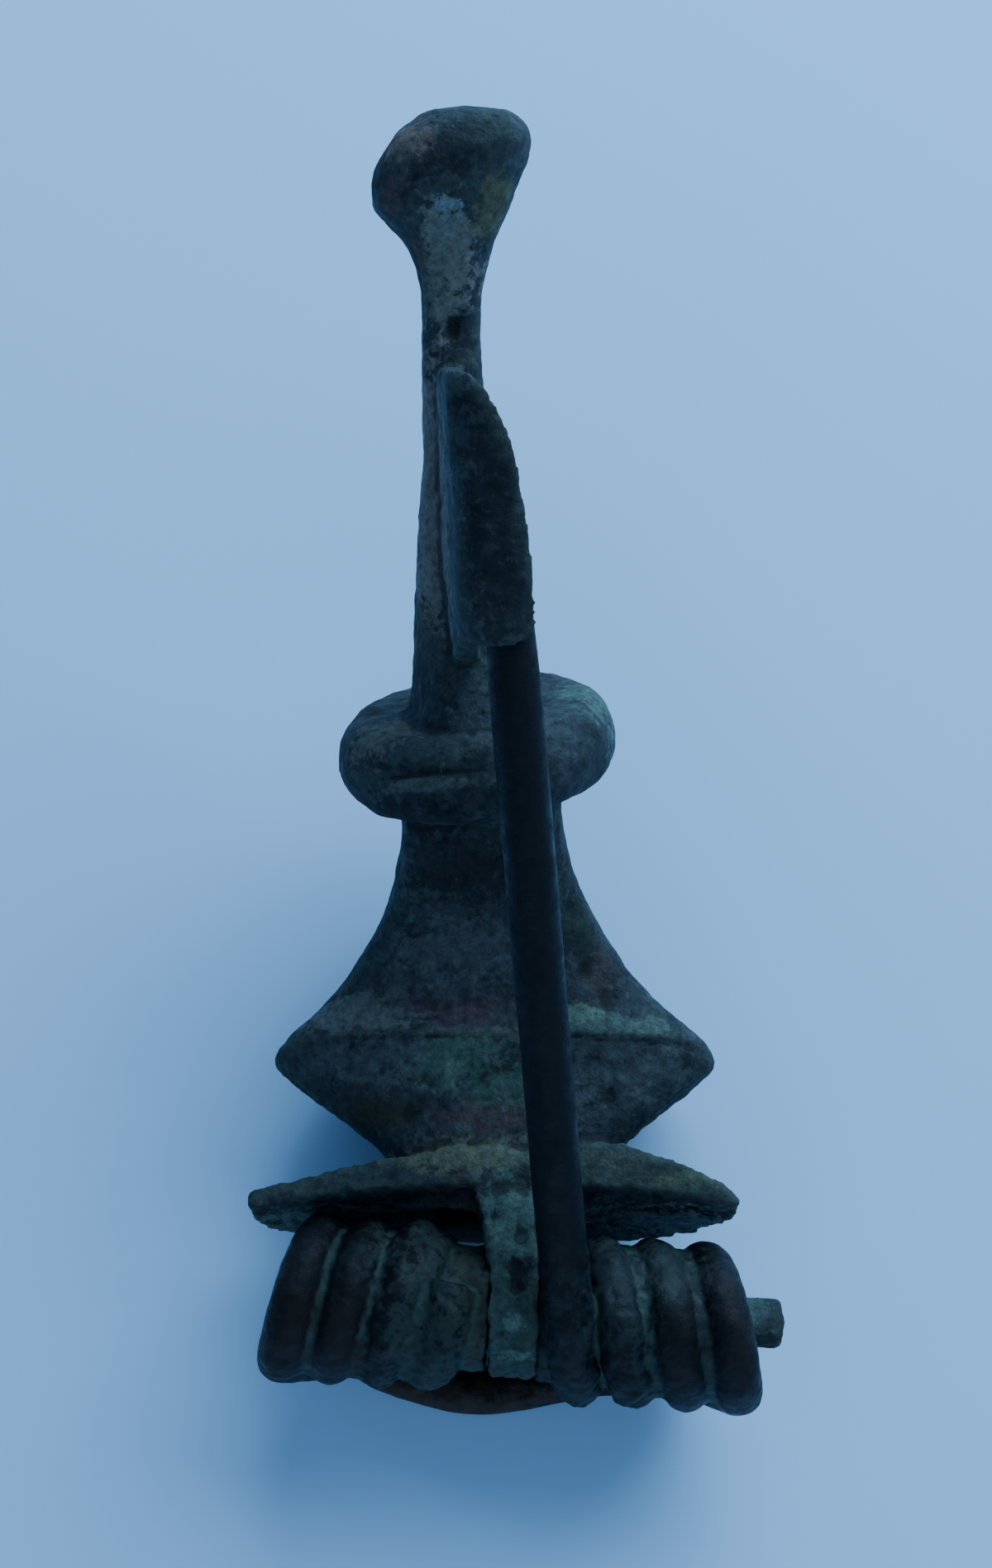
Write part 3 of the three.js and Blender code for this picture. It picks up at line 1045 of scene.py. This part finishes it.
# A mask that grows where the kept relief is high (or low, with the ends swapped).
def reliefMask(nodes, links, low, high):
    kept = addNode(nodes, "ShaderNodeAttribute", attribute_name="relief")
    mask = addNode(
        nodes, "ShaderNodeMapRange", {"From Min": low, "From Max": high},
        interpolation_type="SMOOTHSTEP",
    )
    links.new(kept.outputs["Fac"], mask.inputs["Value"])
    return mask.outputs["Result"]


def noiseAt(nodes, links, place, scale, rough):
    grain = addNode(
        nodes, "ShaderNodeTexNoise", {"Scale": scale, "Detail": 7, "Roughness": rough}
    )
    links.new(place.outputs["Object"], grain.inputs["Vector"])
    return grain.outputs["Fac"]


# Spreads a noise between two values.
def spread(nodes, links, value, reach, low, high):
    node = addNode(nodes, "ShaderNodeMapRange", {
        "From Min": 0.5 - reach, "From Max": 0.5 + reach, "To Min": low, "To Max": high,
    })
    links.new(value, node.inputs["Value"])
    return node.outputs["Result"]


# A copper-alloy patina: a ground colour, mottled layers, patches at set places, then
# colours by the high and low spots of the worn surface: painted shade in the hollows of the bow and
# rod, a painted highlight on the bow's proud edges, and crust in the wire's grooves.
def makePatina(name, look):
    material = bpy.data.materials.new(name)
    material.use_nodes = True
    nodes, links = material.node_tree.nodes, material.node_tree.links
    skin = nodes["Principled BSDF"]
    skin.inputs["Metallic"].default_value = look["metal"]
    skin.inputs["Specular IOR Level"].default_value = look["sheen"]
    masks = []
    for scale, cover, edge, over, strength in look["layers"]:
        mottle = addNode(nodes, "ShaderNodeGroup", node_tree=mottleGroup)
        for socket, value in (("Scale", scale), ("Cover", cover), ("Edge", edge)):
            mottle.inputs[socket].default_value = value
        masks.append((mottle.outputs["Mask"], over, strength))
    for spot, size, over, strength in look["patches"]:
        patch = addNode(nodes, "ShaderNodeGroup", node_tree=patchGroup)
        patch.inputs["Place"].default_value = at(*spot)
        patch.inputs["Size"].default_value = Vector(size) * mm
        patch.inputs["Ragged"].default_value = look["ragged"]
        patch.inputs["Flecks"].default_value = look["flecks"]
        masks.append((patch.outputs["Mask"], over, strength))
    for low, high, over, strength in look["relief"]:
        masks.append((reliefMask(nodes, links, low, high), over, strength))
    colour = look["ground"]
    for mask, over, strength in masks:
        colour = layColour(nodes, links, colour, over, mask, strength)
    place = nodes.new("ShaderNodeTexCoord")
    fine = noiseAt(nodes, links, place, look["grain"] * 1.6, 0.75)
    coarse = noiseAt(nodes, links, place, look["grain"] * 0.5, 0.65)
    tone = spread(nodes, links, fine, 0.18, 1 - look["speckle"], 1 + look["speckle"])
    shade = addNode(nodes, "ShaderNodeVectorMath", operation="SCALE")
    links.new(colour, shade.inputs[0])
    links.new(tone, shade.inputs["Scale"])
    links.new(shade.outputs["Vector"], skin.inputs["Base Color"])
    links.new(spread(nodes, links, coarse, 0.15, *look["dull"]), skin.inputs["Roughness"])
    coarseBump, fineBump = [
        addNode(nodes, "ShaderNodeBump", {"Strength": look["bump"], "Distance": depth * mm})
        for depth in (0.3, 0.12)
    ]
    links.new(coarse, coarseBump.inputs["Height"])
    links.new(fine, fineBump.inputs["Height"])
    links.new(coarseBump.outputs["Normal"], fineBump.inputs["Normal"])
    links.new(fineBump.outputs["Normal"], skin.inputs["Normal"])
    return material


# Layers: scale, cover, edge, colour, strength. Patches: place and size in millimetres,
# colour, strength. Relief: from, to, colour, strength. Later rows lie over earlier ones.
bowLook = {
    "ground": (0.20, 0.225, 0.235),
    "metal": 0.0,
    "sheen": 0.2,
    "layers": [
        (120, 0.5, 0.06, (0.14, 0.16, 0.17), 0.8),
        (260, 0.42, 0.04, (0.21, 0.25, 0.24), 0.8),
        (330, 0.36, 0.03, (0.13, 0.125, 0.115), 0.7),
        (600, 0.4, 0.03, (0.12, 0.14, 0.15), 0.8),
        (950, 0.36, 0.03, (0.27, 0.34, 0.31), 0.55),
        (2100, 0.4, 0.04, (0.09, 0.105, 0.11), 0.6),
    ],
    "patches": [
        ((-6.5, 13.6, 8), (4.2, 1.1, 1.6), (0.345, 0.35, 0.345), 0.85),
        ((-3.4, 14.6, 8.2), (2.8, 1.2, 1.6), (0.24, 0.255, 0.265), 0.7),
        ((-1.6, 12.6, 8.4), (3.2, 0.35, 1.2), (0.33, 0.33, 0.30), 0.6),
        ((3.8, 13, 8.3), (3.6, 0.5, 1.4), (0.27, 0.33, 0.31), 0.7),
        ((-2.7, 11.3, 8.1), (2.9, 1.4, 1.6), (0.26, 0.34, 0.30), 0.85),
        ((0.4, 9.9, 8.0), (2.6, 2.0, 1.6), (0.22, 0.30, 0.26), 0.75),
        ((5.5, 10.9, 7.8), (3.6, 1.8, 1.6), (0.235, 0.265, 0.27), 0.7),
        ((2.9, 13.5, 8.4), (1.3, 0.6, 1.5), (0.31, 0.385, 0.33), 0.8),
        ((6.6, 12.9, 8.1), (1.3, 0.5, 1.3), (0.30, 0.36, 0.32), 0.6),
        ((4.3, 15.6, 8.4), (1.0, 1.4, 1.5), (0.22, 0.15, 0.135), 0.55),
        ((3.2, 17.4, 9), (1.6, 1.6, 1.8), (0.11, 0.15, 0.13), 0.7),
        ((-2.2, 13.5, 8.4), (2.3, 0.8, 1.5), (0.28, 0.205, 0.235), 0.75),
        ((-1.2, 8.6, 7.7), (2.2, 0.8, 1.5), (0.25, 0.18, 0.18), 0.75),
        ((-6.6, 8.9, 6.6), (2.6, 0.8, 1.8), (0.15, 0.155, 0.11), 0.8),
        ((-6.5, 11.3, 7.6), (3.0, 1.1, 1.6), (0.25, 0.27, 0.29), 0.65),
        ((-2.4, 16.6, 8.6), (3.0, 1.7, 1.6), (0.30, 0.31, 0.325), 0.7),
        ((-1.8, 6.9, 7.6), (3.8, 1.0, 2.5), (0.34, 0.35, 0.28), 0.85),
        ((3.2, 6.6, 7.6), (3.4, 0.8, 2.5), (0.24, 0.27, 0.23), 0.7),
        ((-7, 5.5, 7.8), (4.2, 0.8, 0.7), (0.17, 0.21, 0.205), 0.8),
        ((6.5, 5.8, 7.8), (4.2, 1.2, 0.8), (0.17, 0.20, 0.185), 0.8),
        ((8.0, 5.9, 7.9), (1.6, 0.4, 0.8), (0.27, 0.30, 0.22), 0.6),
        # Painted light: the spring-facing face of the support plate made paler, standing in for
        # light that the coils keep from it.
        ((-6.5, 3.6, 5.2), (6.5, 1.5, 2.6), (0.39, 0.455, 0.44), 0.85),
        ((6.5, 3.4, 5.2), (6.0, 1.5, 2.6), (0.45, 0.50, 0.48), 0.85),
        ((-2.2, 4.6, 7), (1.5, 2.4, 1.4), (0.20, 0.165, 0.17), 0.9),
        ((0.1, 4.3, 8.4), (1.7, 2.9, 1.8), (0.255, 0.33, 0.305), 0.85),
        ((0.1, -0.6, 8.2), (1.4, 2.8, 2.6), (0.19, 0.26, 0.235), 0.85),
        ((0.1, -1.7, 7.6), (1.3, 0.3, 0.8), (0.34, 0.42, 0.38), 0.7),
        # Painted shade: the slot in the lug darkened where shade falls in it.
        ((0.28, 1.75, 8.7), (0.35, 1.0, 0.8), (0.10, 0.115, 0.13), 0.9),
        # Painted highlight: a pale spot on top of the lug's eye.
        ((0.1, -0.35, 8.8), (0.5, 0.45, 0.6), (0.33, 0.41, 0.39), 0.8),
        ((-5.2, 24.2, 16), (1.9, 1.4, 2.2), (0.36, 0.335, 0.30), 0.8),
        # Painted shade: the spring-side lower part of the bow knob darkened, on both lobes.
        ((-4.2, 22, 13), (3.6, 1.3, 2.6), (0.06, 0.07, 0.085), 0.9),
        ((-4.4, 21, 15.8), (3.9, 1.0, 2.8), (0.06, 0.07, 0.085), 0.95),
        ((3.0, 20.8, 15.8), (2.6, 0.9, 3.0), (0.09, 0.105, 0.115), 0.85),
        # Painted highlight and painted shadow: a pale line on the lit lip of the knob's groove and
        # a dark line in its shadowed crack.
        ((-3.4, 21.75, 18.3), (2.8, 0.3, 1.4), (0.29, 0.32, 0.30), 0.8),
        ((-3.2, 22.2, 18.6), (2.7, 0.13, 1.4), (0.08, 0.09, 0.095), 0.85),
        ((3.8, 26, 14.2), (1.7, 2.4, 2.4), (0.30, 0.38, 0.345), 0.75),
        # Painted shade: the waist below the bow knob darkened where it turns towards the spring.
        ((-1.5, 20, 11), (4.2, 1.7, 2.4), (0.115, 0.12, 0.125), 0.85),
        ((-1.0, 20.9, 12), (1.2, 0.8, 1.6), (0.16, 0.22, 0.18), 0.7),
        ((-3.4, 33, 21.5), (1.3, 8.5, 5.5), (0.43, 0.40, 0.375), 0.85),
        ((-3.6, 27.4, 17), (1.6, 2.6, 2.5), (0.17, 0.185, 0.18), 0.8),
        ((-2.6, 40.7, 27.8), (1.9, 2.8, 3.0), (0.43, 0.43, 0.40), 0.85),
        ((-4.0, 40.6, 27), (0.6, 2.6, 2.2), (0.20, 0.165, 0.175), 0.75),
        # Painted shade: the pit on the foot shaft darkened.
        ((-2.35, 39.2, 25.6), (0.5, 0.5, 0.6), (0.06, 0.07, 0.07), 0.85),
        # Painted highlight: a pale bluish spot on the foot knob where it catches the light.
        ((-2.5, 42.1, 29.8), (0.95, 0.9, 1.2), (0.44, 0.50, 0.54), 0.6),
        # Painted shade: the hollow in the foot knob darkened.
        ((-3.2, 43.6, 31), (1.5, 0.9, 1.4), (0.12, 0.135, 0.14), 0.9),
        ((-4.7, 45.0, 30.6), (1.5, 1.3, 1.8), (0.40, 0.32, 0.30), 0.85),
        ((-4.9, 42.9, 29.4), (0.8, 0.9, 1.4), (0.30, 0.23, 0.22), 0.7),
        ((-0.7, 44.6, 31), (1.9, 1.4, 2), (0.14, 0.155, 0.17), 0.8),
        ((-0.7, 42.2, 28.8), (0.9, 1.8, 2.2), (0.33, 0.335, 0.23), 0.75),
        ((-1.6, 37.9, 25.4), (0.6, 0.8, 1.0), (0.33, 0.40, 0.33), 0.75),
        # Painted shade: the catch lip made nearly black, so that the light falling on it and its
        # rim does not show.
        ((0.2, 26.9, 24), (2.3, 2.4, 3), (0.07, 0.09, 0.10), 0.97),
        ((-0.2, 29.4, 25), (2.2, 3.2, 4), (0.07, 0.09, 0.10), 0.97),
        ((-0.4, 32.5, 27), (1.9, 4.2, 4), (0.07, 0.09, 0.10), 0.97),
        ((-1.0, 35.8, 28.5), (1.6, 3.4, 3.5), (0.07, 0.09, 0.10), 0.97),
        ((-2.0, 32, 24), (0.6, 7, 3.0), (0.22, 0.225, 0.23), 0.7),
    ],
    "relief": [
        # Painted shade darkens the low spots in hollows and creases; a painted highlight makes
        # proud edges paler.
        (0.46, 0.25, (0.07, 0.08, 0.08), 0.7),
        (0.6, 0.95, (0.28, 0.33, 0.31), 0.3),
    ],
    "ragged": 2.2,
    "flecks": 2.6,
    "speckle": 0.55,
    "grain": 1700,
    "dull": (0.55, 0.9),
    "bump": 0.9,
}
wireLook = {
    "ground": (0.04, 0.04, 0.048),
    "metal": 0.0,
    "sheen": 0.16,
    "layers": [
        (170, 0.45, 0.05, (0.042, 0.044, 0.052), 0.7),
        (800, 0.34, 0.05, (0.075, 0.08, 0.088), 0.4),
    ],
    "patches": [
        ((0, 0, 6), (11.3, 4.8, 4.8), (0.09, 0.11, 0.115), 0.9),
        ((-3.6, 0, 7), (2.9, 4.4, 4), (0.14, 0.18, 0.165), 0.85),
        ((-1.9, 0.5, 7.5), (0.9, 4, 3), (0.17, 0.19, 0.15), 0.75),
        ((4.6, 0.8, 8), (3.2, 3.2, 3), (0.10, 0.13, 0.135), 0.8),
        ((6.9, 2.0, 8.6), (1.8, 1.6, 3), (0.13, 0.165, 0.16), 0.6),
        ((-9.7, -1.0, 8.6), (1.7, 2.9, 2.4), (0.085, 0.053, 0.038), 0.95),
        ((-7.2, -0.9, 8.6), (1.1, 2.7, 2.4), (0.095, 0.064, 0.055), 0.9),
        ((7.5, -1.2, 8.6), (0.9, 2.5, 2.2), (0.055, 0.036, 0.033), 0.9),
        ((10, -1.2, 8.2), (0.9, 3.2, 2.4), (0.10, 0.075, 0.066), 0.9),
        ((-3.6, -3.6, 1.6), (6.5, 2.4, 1.6), (0.18, 0.125, 0.088), 0.9),
        ((0.9, 6, 11), (0.8, 5, 4), (0.07, 0.055, 0.066), 0.7),
    ],
    "relief": [
        (0.42, 0.15, (0.17, 0.235, 0.22), 0.85),
        (0.7, 1.0, (0.10, 0.095, 0.10), 0.3),
    ],
    "ragged": 2.0,
    "flecks": 2.2,
    "speckle": 0.35,
    "grain": 1900,
    "dull": (0.32, 0.7),
    "bump": 0.4,
}
rodLook = {
    "ground": (0.22, 0.28, 0.27),
    "metal": 0.0,
    "sheen": 0.2,
    "layers": [
        (420, 0.45, 0.04, (0.28, 0.36, 0.34), 0.7),
        (1300, 0.42, 0.04, (0.12, 0.15, 0.15), 0.7),
    ],
    "patches": [
        ((12, -0.4, 6), (0.8, 1.5, 1.5), (0.15, 0.165, 0.17), 0.8),
    ],
    # Painted shade: the low spots of the rod darkened.
    "relief": [(0.45, 0.25, (0.10, 0.12, 0.12), 0.7)],
    "ragged": 2.0,
    "flecks": 2.4,
    "speckle": 0.4,
    "grain": 1700,
    "dull": (0.6, 0.9),
    "bump": 0.7,
}

for piece, name, look in (
    (bow, "bow_patina", bowLook),
    (springPin, "wire_patina", wireLook),
    (springRod, "rod_patina", rodLook),
):
    piece.data.materials.clear()
    piece.data.materials.append(makePatina(name, look))
print("patina laid")

for piece, node in ((bow, "bow"), (springPin, "spring_pin"), (springRod, "spring_rod")):
    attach(piece, "root")
    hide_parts(node)

# The table and the light, in metres. The window light comes from beyond the foot.
studio = {
    "floor": (0.66, 0.805, 0.93),
    "floorWidth": 3,
    "floorBelow": 0.00002,
    "sky": (0.24, 0.50, 0.92),
    "skyPower": 0.47,
    "lightColour": (0.42, 0.70, 1.0),
    "lights": {
        "window_light": {
            "place": (0.13, 0.24, 0.18), "aim": (0, 0, 0.01), "size": (0.36, 0.26),
            "power": 2.6,
        },
        "soft_fill": {
            "place": (0, -0.28, 0.055), "aim": (0, -0.02, 0.006), "size": (0.35, 0.35),
            "power": 0.6,
        },
    },
}

clearSelection()
bpy.ops.mesh.primitive_plane_add(
    size=studio["floorWidth"], location=(0, 0, -studio["floorBelow"])
)
floor = bpy.context.object
floor.name = "floor"
paper = bpy.data.materials.new("paper_floor")
paper.use_nodes = True
sheet = paper.node_tree.nodes["Principled BSDF"]
sheet.inputs["Base Color"].default_value = linear(studio["floor"])
sheet.inputs["Roughness"].default_value = 0.9
floor.data.materials.append(paper)

for name, light in studio["lights"].items():
    clearSelection()
    bpy.ops.object.light_add(type="AREA", location=light["place"])
    lamp = bpy.context.object
    lamp.name = name
    lamp.data.shape = "RECTANGLE"
    lamp.data.size, lamp.data.size_y = light["size"]
    lamp.data.energy = light["power"]
    lamp.data.color = studio["lightColour"]
    aim = Vector(light["aim"]) - lamp.location
    lamp.rotation_euler = aim.to_track_quat("-Z", "Y").to_euler()

sky = bpy.data.worlds.new("studio")
sky.use_nodes = True
glow = sky.node_tree.nodes["Background"]
glow.inputs["Color"].default_value = (*studio["sky"], 1)
glow.inputs["Strength"].default_value = studio["skyPower"]
bpy.context.scene.world = sky
print("floor and light set")
